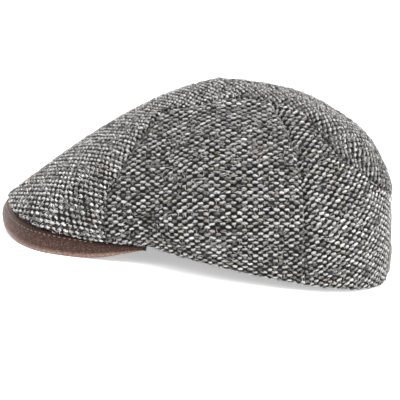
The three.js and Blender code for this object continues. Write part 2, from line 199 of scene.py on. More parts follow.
def seamWay(name, count, side=1):
    # a centripetal curve through the seam's points
    points = np.array(seams[name]) * (side, 1)
    points = np.vstack([2 * points[0] - points[1], points, 2 * points[-1] - points[-2]])
    dense = []
    for k in range(1, len(points) - 2):
        p0, p1, p2, p3 = points[k - 1:k + 3]
        spans = ((p0, p1), (p1, p2), (p2, p3))
        d0, d1, d2 = (math.sqrt(max(np.linalg.norm(b - a), 1e-6)) for a, b in spans)
        start = ((p1 - p0) / d0 - (p2 - p0) / (d0 + d1) + (p2 - p1) / d1) * d1
        end = ((p2 - p1) / d1 - (p3 - p1) / (d1 + d2) + (p3 - p2) / d2) * d1
        t = np.linspace(0, 1, steps["curve"])[:, None]
        dense.append((2 * t**3 - 3 * t**2 + 1) * p1 + (t**3 - 2 * t**2 + t) * start
                     + (3 * t**2 - 2 * t**3) * p2 + (t**3 - t**2) * end)
    return evenly(np.concatenate([dense[0]] + [d[1:] for d in dense[1:]]), count)


def edgeWay(start, end, count):
    return evenly(np.array([onRim(azimuth) for azimuth in np.linspace(start, end, steps["arc"])]), count)


def joinWays(*ways):
    return np.concatenate([ways[0]] + [way[1:] for way in ways[1:]])


def fillEdges(bottom, top, left, right):
    # places inside four edges, blended from the edges
    u = np.linspace(0, 1, len(bottom))[:, None, None]
    v = np.linspace(0, 1, len(left))[None, :, None]
    sides = (1 - v) * bottom[:, None] + v * top[:, None] + (1 - u) * left[None] + u * right[None]
    corners = ((1 - u) * (1 - v) * bottom[0] + u * (1 - v) * bottom[-1]
               + (1 - u) * v * top[0] + u * v * top[-1])
    return sides - corners


# Steps along each seam and edge of the fine cloth, and of the curves that they are drawn from
steps = dict(front=56, crest=24, junction=8, cover=80, yoke=36, backYoke=24, curve=40, arc=200)


def bothSides(name, count, turned=False):
    way = seamWay(name, count)
    way = way[::-1] if turned else way
    return joinWays((way * (-1, 1))[::-1], way)


def frontPlaces():
    left, right = (
        joinWays(seamWay("front", steps["front"], side), seamWay("crest", steps["crest"], side))
        for side in (-1, 1)
    )
    cover = edgeWay(-crown["frontSeam"], crown["frontSeam"], steps["cover"])
    return fillEdges(cover, bothSides("cross", steps["cover"] // 2), left, right)


def backPlaces():
    left, right = (
        joinWays(seamWay("junction", steps["junction"], side), seamWay("yoke", steps["yoke"], side))
        for side in (-1, 1)
    )
    cross = bothSides("cross", steps["backYoke"])
    return fillEdges(cross, bothSides("backYoke", steps["backYoke"], turned=True), left, right)


def sidePlaces():
    crest = joinWays(seamWay("crest", steps["crest"]), seamWay("junction", steps["junction"]))
    rim = edgeWay(crown["frontSeam"], crown["quarterSeam"], steps["crest"] + steps["junction"])
    return fillEdges(rim, crest, seamWay("front", steps["front"]), seamWay("quarter", steps["front"]))


def quarterPlaces():
    yoke = joinWays(seamWay("yoke", steps["yoke"]), seamWay("backYoke", steps["backYoke"]))
    rim = edgeWay(crown["quarterSeam"], 180, steps["yoke"] + steps["backYoke"])
    return fillEdges(rim, yoke, seamWay("quarter", steps["front"]), seamWay("nape", steps["front"]))


# Each seam's ridge of folded cloth and the groove beside it, in millimetres
seamShape = dict(
    ridgeReach=3.2, ridgeSpread=2.4, grooveSpread=1.5, hemFade=6,
    flange=1.3, flangeSteps=2, paintedLightReach=6.5, fillAt=0.97, fillSpread=0.15,
)
hem = dict(radius=1.3, turnSteps=5, depth=12, clear=1.6)

# Ridge, groove and painted light at each side of a panel, the third value painting shade into the dent
# below 0 and a highlight on the fold above 0; None is an edge that is hemmed
sideEdges = dict(left=(-0.5, 2.1, -0.26), right=(0.5, 1.7, 0.1), bottom=None, top=(0.8, 0.9, 0.22))
quarterEdges = dict(left=(-0.4, 2.2, -0.3), right=(0.4, 1.2, 0), bottom=None, top=(1.4, 0.3, 0.35))
panels = dict(
    frontPanel=dict(
        node="front_panel", side=1, places=frontPlaces, weft=(1, 0, 0), slant=16, short=0.76, fine=0.91,
        edges=dict(left=(1.1, 0.8, 0.12), right=(1.1, 0.8, 0.12), bottom=None, top=(0.8, 1.0, 0.1)),
    ),
    backPanel=dict(
        node="back_panel", side=1, places=backPlaces, weft=(1, 0, 0), slant=20, short=0.84, fine=0.97,
        fill=2.4,
        edges=dict(left=(-0.4, 2.0, -0.5), right=(-0.4, 2.0, -0.5), bottom=(0.2, 1.8, -0.2),
                   top=(0, 0.5, -0.3)),
    ),
    # shade on the side panels is painted shade: the same tweed, darkened because the cap's sides lie in
    # more shade
    sidePanelLeft=dict(
        node="side_panel_left", side=1, places=sidePlaces, weft=(0, 0.99, 0.14), edges=sideEdges,
        slant=3, short=1, fine=1, shade=0.88,
    ),
    sidePanelRight=dict(
        node="side_panel_right", side=-1, places=sidePlaces, weft=(0, -0.99, -0.14), edges=sideEdges,
        slant=3, short=1, fine=1, shade=0.88,
    ),
    backQuarterLeft=dict(
        node="back_quarter_left", side=1, places=quarterPlaces, weft=(-0.5, 0.86, 0.25),
        edges=quarterEdges, slant=8, short=1, fine=1,
    ),
    backQuarterRight=dict(
        node="back_quarter_right", side=-1, places=quarterPlaces, weft=(-0.5, -0.86, -0.25),
        edges=quarterEdges, slant=8, short=1, fine=1,
    ),
)


def fromEdge(points, name):
    # distance over the cloth from one edge of the panel
    axis = 0 if name in ("left", "right") else 1
    run = np.linalg.norm(np.diff(points, axis=axis), axis=-1)
    run = np.concatenate([np.zeros_like(run.take([0], axis)), np.cumsum(run, axis)], axis)
    return run if name in ("left", "bottom") else run.take([-1], axis) - run


def panelCloth(panel):
    # the outer face of the panel with its seams drawn in and its hem rolled under
    place = panel["places"]() * (panel["side"], 1)
    inward = -crownNormal(place)
    points = crownPoint(place)
    azimuth = np.degrees(np.arctan2(place[..., 0], -place[..., 1]))
    lift = np.zeros(points.shape[:-1])
    for name, shape in panel["edges"].items():
        if shape is None:
            continue
        away = fromEdge(points, name)
        ridge, groove = shape[:2]
        lift += ridge * np.exp(-(((away - seamShape["ridgeReach"]) / seamShape["ridgeSpread"]) ** 2))
        lift -= groove * np.exp(-((away / seamShape["grooveSpread"]) ** 2))
    if "fill" in panel:
        across = np.linspace(-1, 1, lift.shape[0])[:, None]
        along = np.linspace(0, 1, lift.shape[1])[None]
        near = np.exp(-(((along - seamShape["fillAt"]) / seamShape["fillSpread"]) ** 2))
        lift += panel["fill"] * np.sqrt(1 - across**2) * near
    if panel["edges"]["bottom"] is None:
        fade = np.clip(fromEdge(points, "bottom") / seamShape["hemFade"], 0, 1)
        lift *= fade
        behind = np.abs(azimuth[:, 0]) > crown["peakEnd"]
        inward[:, 0, 2] = np.where(behind, 0, np.minimum(inward[:, 0, 2], 0))
        inward = unit(inward)
    points = points - inward * lift[..., None]
    if panel["edges"]["bottom"] is None:
        points, inward = rollHem(points, inward)
    for name, axis, at in (("left", 0, 0), ("right", 0, -1), ("top", 1, -1), ("bottom", 1, 0)):
        if panel["edges"][name] is None:
            continue
        rows = [points.take([at], axis) + inward.take([at], axis) * seamShape["flange"] * (k + 1)
                for k in range(seamShape["flangeSteps"])]
        ways = [inward.take([at], axis)] * seamShape["flangeSteps"]
        if at == 0:
            points = np.concatenate(rows[::-1] + [points], axis)
            inward = np.concatenate(ways + [inward], axis)
        else:
            points = np.concatenate([points] + rows, axis)
            inward = np.concatenate([inward] + ways, axis)
    return points


def paintedPanelLight(cloth, panel):
    # painted light: painted shade darkens the yarns in the seams' dents and painted highlight lightens them
    # on the folds beside them, over each panel's own painted shade
    paintedLight = np.full(cloth.shape[:2], panel.get("shade", 1.0))
    for name, shape in panel["edges"].items():
        if shape is None:
            continue
        away = np.maximum(0, fromEdge(cloth, name) - seamShape["flange"] * seamShape["flangeSteps"])
        paintedLight += shape[2] * np.exp(-((away / seamShape["paintedLightReach"]) ** 2))
    return paintedLight


def rollHem(points, inward):
    # the cloth turns in round the rim and runs up again inside
    radius = hem["radius"]
    onward = unit(points[:, 0] - points[:, 1])
    way = inward[:, 0]
    onward = unit(onward - way * np.sum(onward * way, -1, keepdims=True))
    edge = points[:, 0] - onward * radius
    away = fromEdge(points, "bottom").mean(0)
    above = away > radius * hem["clear"]
    outer = points[:, above]
    inner = inward[:, above]
    turned = np.linspace(0, math.pi, hem["turnSteps"])
    roll = [edge + onward * radius * math.sin(a) + way * radius * (1 - math.cos(a)) for a in turned]
    within = above & (away < hem["depth"])
    inside = (points + inward * 2 * radius)[:, within]
    rows = np.concatenate([inside[:, ::-1], np.stack(roll[::-1], 1), outer], 1)
    ways = np.concatenate([inward[:, within][:, ::-1], np.stack([way] * len(roll), 1), inner], 1)
    return rows, ways


def gridNormals(points, side):
    along = np.gradient(points, axis=0)
    up = np.gradient(points, axis=1)
    return unit(np.cross(along, up)) * side


def pick(grid, i, j):
    # values between the grid's points
    i0 = np.clip(np.floor(i).astype(int), 0, grid.shape[0] - 2)
    j0 = np.clip(np.floor(j).astype(int), 0, grid.shape[1] - 2)
    u = (i - i0)[:, None]
    v = (j - j0)[:, None]
    return ((1 - u) * (1 - v) * grid[i0, j0] + u * (1 - v) * grid[i0 + 1, j0]
            + (1 - u) * v * grid[i0, j0 + 1] + u * v * grid[i0 + 1, j0 + 1])


def deselect():
    bpy.ops.object.select_all(action="DESELECT")


def gridPiece(name, points, side):
    # a grid added flat, and each of its points then moved to its place on the cloth
    columns, rows = points.shape[0] - 1, points.shape[1] - 1
    deselect()
    bpy.ops.mesh.primitive_grid_add(x_subdivisions=columns, y_subdivisions=rows, size=2)
    piece = bpy.context.object
    piece.name = name
    flat = np.zeros(len(piece.data.vertices) * 3)
    piece.data.vertices.foreach_get("co", flat)
    flat = flat.reshape(-1, 3)
    i = np.rint((flat[:, 0] + 1) / 2 * columns).astype(int)
    i = i if side > 0 else columns - i
    j = np.rint((flat[:, 1] + 1) / 2 * rows).astype(int)
    piece.data.vertices.foreach_set("co", (points[i, j] * mm).ravel())
    piece.data.update()
    return piece, i, j


def layFlat(piece, i, j, points, weft):
    # unwraps the panel and turns its map so that the weft runs along U, in millimetres
    bpy.ops.object.mode_set(mode="EDIT")
    bpy.ops.mesh.select_all(action="SELECT")
    bpy.ops.uv.unwrap(method="ANGLE_BASED", margin=0)
    bpy.ops.object.mode_set(mode="OBJECT")
    piece.data.uv_layers[0].name = "weave"
    layer = piece.data.uv_layers["weave"]
    uv = np.zeros(len(layer.data) * 2)
    layer.data.foreach_get("uv", uv)
    uv = uv.reshape(-1, 2)
    corner = np.zeros(len(piece.data.loops), int)
    piece.data.loops.foreach_get("vertex_index", corner)
    flat = np.zeros(points.shape[:2] + (2,))
    flat[i[corner], j[corner]] = uv
    long = np.linalg.norm(np.diff(points, axis=0), axis=-1)
    longFlat = np.linalg.norm(np.diff(flat, axis=0), axis=-1)
    flat *= np.median(long) / np.median(longFlat)
    ci, cj = points.shape[0] // 2, points.shape[1] // 2
    toPoint, toFlat = (
        np.stack([grid[ci + 2, cj] - grid[ci - 2, cj], grid[ci, cj + 2] - grid[ci, cj - 2]], 1)
        for grid in (points, flat)
    )
    way = toFlat @ np.linalg.lstsq(toPoint, np.array(weft), rcond=None)[0]
    turn = -math.atan2(way[1], way[0])
    spin = np.array([[math.cos(turn), -math.sin(turn)], [math.sin(turn), math.cos(turn)]])
    flat = (flat - flat[ci, cj]) @ spin.T
    layer.data.foreach_set("uv", flat[i[corner], j[corner]].ravel())
    return flat


# One stretch of yarn where it passes over another: sizes in millimetres
weave = dict(warpPitch=3.66, weftPitch=2.33, groundSink=0.5, groundWall=0.7, yarnSink=0.1,
             pressed=0.02, clearance=0.03)
weftFloat = dict(
    length=4.4, width=1.98, top=0.9, alongSteps=6, acrossSteps=4, tilt=6, rough=0.2, strayed=0.13,
)
warpFloat = dict(
    length=2.85, width=3.1, top=0.7, alongSteps=3, acrossSteps=3, tilt=8, rough=0.1, strayed=0.15,
)
fibre = dict(
    length=3.4, width=0.2, top=1.3, alongSteps=3, acrossSteps=1, tilt=55, rough=0.3,
    perFloat=4.2, reach=3.5,
)
# How much single yarns differ, and how the darker ply shows in a twisted yarn: the grey ply is the yarn's
# own, but it always lies on the same side of each float, so it is also painted shade on the float's lower
# side
varied = dict(
    length=(0.8, 1.15), width=(0.75, 1.18), top=(0.7, 1.2), bumps=(0.8, 1.15), colour=(0.82, 1.15),
)
plyShading = dict(dark=(0.24, 0.68), lean=0.35, shift=(-0.5, 0.2), sharp=2.4)


def yarnShape(kind):
    # a rounded grain of yarn, dipping into the cloth at its ends and sides
    alongs = np.linspace(-1, 1, kind["alongSteps"] + 1)
    acrosses = np.linspace(-1, 1, kind["acrossSteps"] + 1)
    a, b = np.meshgrid(alongs, acrosses, indexing="ij")
    width = np.clip(1 - np.abs(a) ** 4, 0, 1) ** 0.5 * 0.8 + 0.2
    rounding = np.clip(1 - (b * 0.97) ** 2, 0, 1) ** 0.5 if kind["acrossSteps"] > 1 else 1
    height = np.clip(1 - np.abs(a) ** 2.4, 0, 1) ** 0.7 * rounding
    return (a * kind["length"] / 2).ravel(), (b * width * kind["width"] / 2).ravel(), height.ravel()


def findPlaces(flat, centres):
    # grid places of the yarn's centres on the flat panel; those off the panel are dropped
    cell = 0.8
    fine = 5
    ci = np.linspace(0, flat.shape[0] - 1, (flat.shape[0] - 1) * fine + 1)
    cj = np.linspace(0, flat.shape[1] - 1, (flat.shape[1] - 1) * fine + 1)
    gi, gj = (g.ravel() for g in np.meshgrid(ci, cj, indexing="ij"))
    uv = pick(flat, gi, gj)
    low = uv.min(0)
    size = np.ceil((uv.max(0) - low) / cell).astype(int) + 1
    at = ((uv - low) / cell).astype(int)
    table = np.full((size[0], size[1], 2), np.nan)
    table[at[:, 0], at[:, 1]] = np.stack([gi, gj], -1)
    spot = ((centres - low) / cell).astype(int)
    inside = ((centres >= low).all(1)) & (spot < size).all(1)
    spot = np.clip(spot, 0, size - 1)
    found = table[spot[:, 0], spot[:, 1]]
    keep = inside & ~np.isnan(found[:, 0])
    return found[keep], keep


def refine(flat, goal, i, j):
    # walks each place over the grid until it lies at its goal on the flat panel
    for _ in range(5):
        i0 = np.clip(np.floor(i).astype(int), 0, flat.shape[0] - 2)
        j0 = np.clip(np.floor(j).astype(int), 0, flat.shape[1] - 2)
        u = (i - i0)[:, None]
        v = (j - j0)[:, None]
        alongI = (1 - v) * (flat[i0 + 1, j0] - flat[i0, j0]) + v * (flat[i0 + 1, j0 + 1] - flat[i0, j0 + 1])
        alongJ = (1 - u) * (flat[i0, j0 + 1] - flat[i0, j0]) + u * (flat[i0 + 1, j0 + 1] - flat[i0 + 1, j0])
        miss = goal - pick(flat, i, j)
        scale = alongI[:, 0] * alongJ[:, 1] - alongI[:, 1] * alongJ[:, 0]
        scale = np.where(np.abs(scale) < 1e-6, 1e-6, scale)
        stepI = (miss[:, 0] * alongJ[:, 1] - miss[:, 1] * alongJ[:, 0]) / scale
        stepJ = (alongI[:, 0] * miss[:, 1] - alongI[:, 1] * miss[:, 0]) / scale
        i = np.clip(i + stepI, 0, flat.shape[0] - 1)
        j = np.clip(j + stepJ, 0, flat.shape[1] - 1)
    return i, j


# Yarn colours in linear light, each with its share
lightYarns = [((0.96, 0.935, 0.92), 0.55), ((0.68, 0.66, 0.645), 0.25), ((0.34, 0.33, 0.32), 0.11),
              ((0.66, 0.57, 0.54), 0.05), ((0.63, 0.6, 0.5), 0.06), ((0.54, 0.57, 0.6), 0.04)]
darkYarns = [((0.013, 0.012, 0.0115), 0.6), ((0.035, 0.033, 0.032), 0.22), ((0.16, 0.154, 0.15), 0.1),
             ((0.06, 0.04, 0.035), 0.04), ((0.03, 0.038, 0.048), 0.04)]
fibreColours = lightYarns + darkYarns


def yarnColours(yarns, count):
    colours = np.array([colour for colour, share in yarns])
    shares = np.array([share for colour, share in yarns])
    chosen = colours[rng.choice(len(yarns), count, p=shares / shares.sum())]
    return chosen * rng.uniform(*varied["colour"], (count, 1))


def crossings(flat, even, fine):
    # the middles of every other crossing of the weave, staggered from row to row
    low, high = flat.reshape(-1, 2).min(0), flat.reshape(-1, 2).max(0)
    pitch = np.array([weave["warpPitch"], weave["weftPitch"]]) * fine
    lines, rows = (np.arange(math.floor(low[k] / pitch[k]), math.ceil(high[k] / pitch[k]) + 1)
                   for k in (0, 1))
    line, row = (g.ravel() for g in np.meshgrid(lines, rows, indexing="ij"))
    ours = (line + row) % 2 == (0 if even else 1)
    return np.stack([line[ours], row[ours]], -1) * pitch


def yarnMesh(name, cloth, normals, flat, paintedLight, kind, centres, slant, short, fine, colours, plyShaded):
    # every stretch of one yarn on a panel, as one mesh
    found, keep = findPlaces(flat, centres)
    centres = centres[keep]
    count = len(centres)
    a, b, height = yarnShape(kind)
    across = kind["acrossSteps"] + 1
    turn = np.radians(slant + rng.normal(0, kind["tilt"], count))[:, None]
    long = a * short * rng.uniform(*varied["length"], (count, 1))
    wide = b * fine * rng.uniform(*varied["width"], (count, 1))
    goal = centres[:, None] + np.stack([long * np.cos(turn) - wide * np.sin(turn),
                                        long * np.sin(turn) + wide * np.cos(turn)], -1)
    goal += np.repeat(rng.normal(0, kind["rough"], (count, len(a) // across, 2)), across, axis=1)
    tall = height * kind["top"] * rng.uniform(*varied["top"], (count, 1))
    tall = tall * rng.uniform(*varied["bumps"], (count, len(a)))
    i, j = (np.repeat(found[:, k], len(a)) for k in (0, 1))
    i, j = refine(flat, goal.reshape(-1, 2), i, j)
    lift = tall.ravel() - weave["groundSink"] - weave["yarnSink"]
    points = pick(cloth, i, j) + unit(pick(normals, i, j)) * lift[:, None]
    points[:, 2] = np.maximum(points[:, 2], weave["pressed"])  # flat where the cap lies on the surface
    quads = np.array([(p * across + q, (p + 1) * across + q, (p + 1) * across + q + 1, p * across + q + 1)
                      for p in range(kind["alongSteps"]) for q in range(kind["acrossSteps"])])
    faces = (quads[None] + np.arange(count)[:, None, None] * len(a)).reshape(-1, 4)
    mesh = bpy.data.meshes.new(name)
    mesh.vertices.add(len(points))
    mesh.vertices.foreach_set("co", (points * mm).ravel())
    mesh.loops.add(faces.size)
    mesh.loops.foreach_set("vertex_index", faces.ravel())
    mesh.polygons.add(len(faces))
    mesh.polygons.foreach_set("loop_start", np.arange(0, faces.size, 4))
    mesh.polygons.foreach_set("loop_total", np.full(len(faces), 4))
    mesh.polygons.foreach_set("use_smooth", np.ones(len(faces), bool))
    mesh.update(calc_edges=True)
    # Painted shade: each float is darker where it dips into the cloth at its ends and sides, and on the
    # side where its grey ply is laid; the panel's painted light from the seams is multiplied in
    shade = 0.5 + 0.5 * np.clip(height, 0, 1)
    split = b / kind["width"] * 2 + plyShading["lean"] * a / kind["length"] * 2
    split = split + rng.uniform(*plyShading["shift"], (count, 1))
    under = rng.uniform(*plyShading["dark"], (count, 1)) if plyShaded else np.ones((count, 1))
    ply = under + (1 - under) * np.clip(0.5 + plyShading["sharp"] * split, 0, 1)
    ply = ply * pick(paintedLight[..., None], found[:, 0], found[:, 1])
    colour = yarnColours(colours, count)[:, None] * (shade * ply)[..., None]
    colour = np.concatenate([colour.reshape(-1, 3), np.ones((len(points), 1))], -1)
    shades = mesh.color_attributes.new("yarnColourAndShade", "FLOAT_COLOR", "POINT")
    shades.data.foreach_set("color", colour.ravel())
    offset = rng.uniform(0, 90, (count, 1, 2))
    own = (np.stack([a, b], -1)[None] + offset).reshape(-1, 2)
    mesh.uv_layers.new(name="weave").data.foreach_set("uv", own[faces.ravel()].ravel())
    piece = bpy.data.objects.new(name, mesh)
    bpy.context.scene.collection.objects.link(piece)
    return piece


# A shader socket, wrapped so that sums can be written out
class Value:
    def __init__(self, tree, socket):
        self.tree = tree
        self.socket = socket

    def math(self, operation, *others, clamp=False):
        node = self.tree.nodes.new("ShaderNodeMath")
        node.operation = operation
        node.use_clamp = clamp
        for k, value in enumerate((self,) + others):
            if isinstance(value, Value):
                self.tree.links.new(value.socket, node.inputs[k])
            else:
                node.inputs[k].default_value = value
        return Value(self.tree, node.outputs[0])

    def __add__(self, other):
        return self.math("ADD", other)

    def __mul__(self, other):
        return self.math("MULTIPLY", other)

    def __sub__(self, other):
        return self.math("SUBTRACT", other)

    def __rsub__(self, other):
        return (self * -1) + other

    __radd__ = __add__
    __rmul__ = __mul__

    def clamped(self):
        return self.math("ADD", 0, clamp=True)


class Finish:
    def __init__(self, name, **shader):
        self.material = bpy.data.materials.new(name)
        self.material.use_nodes = True
        self.tree = self.material.node_tree
        self.shader = self.tree.nodes["Principled BSDF"]
        for socket, value in shader.items():
            self.shader.inputs[socket.replace("_", " ")].default_value = value

    def add(self, kind, settings=None, output=0, **inputs):
        # any node: its settings first, and then the values or links of its sockets
        node = self.tree.nodes.new(kind)
        for setting, value in (settings or {}).items():
            setattr(node, setting, value)
        for socket, value in inputs.items():
            key = int(socket[2:]) if socket.startswith("at") else socket.replace("_", " ")
            self.feed(node.inputs[key], value)
        return Value(self.tree, node.outputs[output])

    def feed(self, socket, value):
        if isinstance(value, Value):
            self.tree.links.new(value.socket, socket)
        else:
            socket.default_value = value

    def give(self, socket, value):
        self.feed(self.shader.inputs[socket], value)


def blendColours(finish, share, low, high):
    return finish.add("ShaderNodeMix", dict(data_type="RGBA"), output=2, at0=share, at6=low, at7=high)


def yarnFinish():
    # spun wool: the yarn's colour with its painted shade and painted seam light, mottled lengthwise, with
    # its twist and stray fibres
    wool = Finish("tweedYarn", Roughness=0.95, Sheen_Weight=0.16, Sheen_Roughness=0.3,
                  Specular_IOR_Level=0.12)
    colour = wool.add("ShaderNodeAttribute", dict(attribute_name="yarnColourAndShade"))
    uv = wool.add("ShaderNodeUVMap", dict(uv_map="weave"))
    drawn = wool.add("ShaderNodeMapping", Vector=uv, Scale=(0.75, 1.6, 1))
    ply = wool.add("ShaderNodeTexWave", dict(bands_direction="DIAGONAL"), output=1, Vector=uv, Scale=0.42,
                   Distortion=1.5, Detail=1.0)
    mottle = wool.add("ShaderNodeTexNoise", Vector=drawn, Scale=1.0, Detail=4.0, Roughness=0.7)
    value = (ply * 0.3 + mottle * 3.6 - 1.2).clamped()
    dark = wool.add("ShaderNodeMix", dict(data_type="RGBA", blend_type="MULTIPLY"), output=2,
                    at0=1.0, at6=colour, at7=(0.34, 0.332, 0.325, 1))
    wool.give("Base Color", blendColours(wool, value, dark, colour))
    height = ply * 0.5 + mottle * 1.4
    wool.give("Normal", wool.add("ShaderNodeBump", Height=height, Strength=0.7, Distance=0.0005))
    return wool.material


def groundFinish():
    # the cloth under the floats and its reverse: the same weave, close and flat
    cloth = Finish("tweedGround", Roughness=1.0, Sheen_Weight=0.15, Specular_IOR_Level=0.1)
    uv = cloth.add("ShaderNodeUVMap", dict(uv_map="weave"))
    across, along = (cloth.add("ShaderNodeSeparateXYZ", output=k, Vector=uv) for k in (0, 1))
    lines = (across * (math.pi / weave["warpPitch"])).math("COSINE")
    rows = (along * (math.pi / weave["weftPitch"])).math("COSINE")
    crossing = lines * rows
    fibre = cloth.add("ShaderNodeTexNoise", Vector=uv, Scale=1.7, Detail=3.0)
    light = (crossing * 1.4 + fibre * 1.2 - 0.75).clamped()
    cloth.give("Base Color", blendColours(cloth, light, (0.014, 0.013, 0.0125, 1), (0.13, 0.126, 0.122, 1)))
    cloth.give("Normal", cloth.add("ShaderNodeBump", Height=crossing.math("ABSOLUTE") + fibre * 0.4,
                                   Strength=0.7, Distance=0.0006))
    return cloth.material


def leatherFinish(name, mid, deep, lip):
    # fine pebbled grain, painted shadow in deeper brown under the cloth's edge, and paler along the lip
    hide = Finish(name, Specular_IOR_Level=0.3)
    spot = hide.add("ShaderNodeTexCoord", output=3)
    pebble = hide.add("ShaderNodeTexVoronoi", dict(feature="DISTANCE_TO_EDGE"), Vector=spot, Scale=640.0)
    grain = hide.add("ShaderNodeTexNoise", Vector=spot, Scale=620.0, Detail=3.0, Roughness=0.65)
    broad = hide.add("ShaderNodeTexNoise", Vector=spot, Scale=38.0, Detail=3.0)
    paleEdge = hide.add("ShaderNodeAttribute", dict(attribute_name="paleEdge"), output=2)
    shade = hide.add("ShaderNodeAttribute", dict(attribute_name="shade"), output=2)
    mottle = (broad * 0.6 + grain * 4.2 - 1.95).clamped()
    creased = (pebble * 3.4).clamped()
    base = blendColours(hide, (mottle * 0.75 + 0.25) * creased, deep, mid)
    base = blendColours(hide, (paleEdge * (mottle * 0.55 + 0.5)).clamped(), base, lip)
    hide.give("Base Color", blendColours(hide, shade, base, deep))
    hide.give("Roughness", mottle * -0.16 + 0.52)
    hide.give("Normal", hide.add("ShaderNodeBump", Height=creased * 0.9 + grain * 0.9, Strength=0.9,
                                 Distance=0.0006))
    return hide.material


yarnMaterial = yarnFinish()
groundMaterial = groundFinish()
peakMaterial = leatherFinish("peakLeather", (0.165, 0.078, 0.053, 1), (0.018, 0.006, 0.0035, 1),
                             (0.3, 0.195, 0.155, 1))
# The patch's pale colours are partly painted sheen: brown leather lightened to the grey-pink of its grazing
# reflection
patchMaterial = leatherFinish("patchLeather", (0.4, 0.32, 0.29, 1), (0.16, 0.11, 0.095, 1),
                              (0.5, 0.43, 0.4, 1))


def makePanel(name, panel):
    cloth = panelCloth(panel)
    normals = gridNormals(cloth, panel["side"])
    ground, i, j = gridPiece(name, cloth - normals * weave["groundSink"], panel["side"])
    flat = layFlat(ground, i, j, cloth, panel["weft"])
    ground.data.materials.append(groundMaterial)
    bpy.ops.object.shade_smooth()
    wall = ground.modifiers.new("wall", "SOLIDIFY")
    wall.thickness = weave["groundWall"] * mm
    wall.offset = -1
    bpy.ops.object.modifier_apply(modifier="wall")
    place = np.zeros(len(ground.data.vertices) * 3)
    ground.data.vertices.foreach_get("co", place)
    place[2::3] = np.maximum(place[2::3], weave["clearance"] * mm)
    ground.data.vertices.foreach_set("co", place)
    ground.data.color_attributes.new("yarnColourAndShade", "FLOAT_COLOR", "POINT")
    paintedLight = paintedPanelLight(cloth, panel)
    weft, warp = (crossings(flat, even, panel["fine"]) for even in (True, False))
    weft += rng.normal(0, weftFloat["strayed"], weft.shape)
    warp += rng.normal(0, warpFloat["strayed"], warp.shape)
    loose = weft[rng.integers(0, len(weft), int(len(weft) * fibre["perFloat"]))]
    loose += rng.uniform(-fibre["reach"], fibre["reach"], loose.shape)
    slant, short, fine = panel["slant"], panel["short"], panel["fine"]
    yarns = [
        yarnMesh(name + "Weft", cloth, normals, flat, paintedLight, weftFloat, weft, slant, short, fine,
                 lightYarns, True),
        yarnMesh(name + "Warp", cloth, normals, flat, paintedLight, warpFloat, warp, slant + 70, 1, fine,
                 darkYarns, False),
        yarnMesh(name + "Fibre", cloth, normals, flat, paintedLight, fibre, loose, slant, 1, 1,
                 fibreColours, False),
    ]
    deselect()
    for yarn in yarns:
        yarn.data.materials.append(yarnMaterial)
        yarn.select_set(True)
    ground.select_set(True)
    bpy.context.view_layer.objects.active = ground
    bpy.ops.object.join()
    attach(ground, body)
    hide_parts(panel["node"])
    ground.data.calc_loop_triangles()
    print("panel", name, len(ground.data.loop_triangles), "triangles")


# The leather peak: its section runs from the rim under the cloth, out and down to a rounded lip
peak = dict(
    acrossSteps=120, lipRadius=1.9, underSteps=8, hemSteps=12, lipSteps=9, hemSwell=0.26, taperSpan=6,
    taperLeast=0.15,
)


def peakRows():
    azimuth = np.linspace(-crown["peakEnd"], crown["peakEnd"], peak["acrossSteps"] + 1)
    root = rimEdge(azimuth) - (0, 0, 2 * crown["layGap"])
    place = np.array([onRim(a) for a in azimuth])
    inward = -crownNormal(place)
    inward[:, 2] = np.minimum(inward[:, 2], 0)
    inward = unit(inward)
    edge = clothEdge(azimuth)
    under = edge + inward * (crown["clothWall"] + crown["layGap"]) - (0, 0, crown["layGap"])
    run = clothEdge(azimuth + 0.5) - clothEdge(azimuth - 0.5)
    outward = unit(np.stack([run[:, 1], -run[:, 0], np.zeros(len(run))], -1))
    tip = edge + outward * (crown["leatherReach"] * rowValue(leatherRows, "reach", azimuth))[:, None]
    tip[:, 2] = np.maximum(0, tip[:, 2] - crown["leatherDrop"] * rowValue(leatherRows, "drop", azimuth))
    for way in (root, under, tip):
        way[:, 1] += rowShift
    swell = (tip - under) * (1, 1, 0)
    return azimuth, root, under, tip, swell, outward


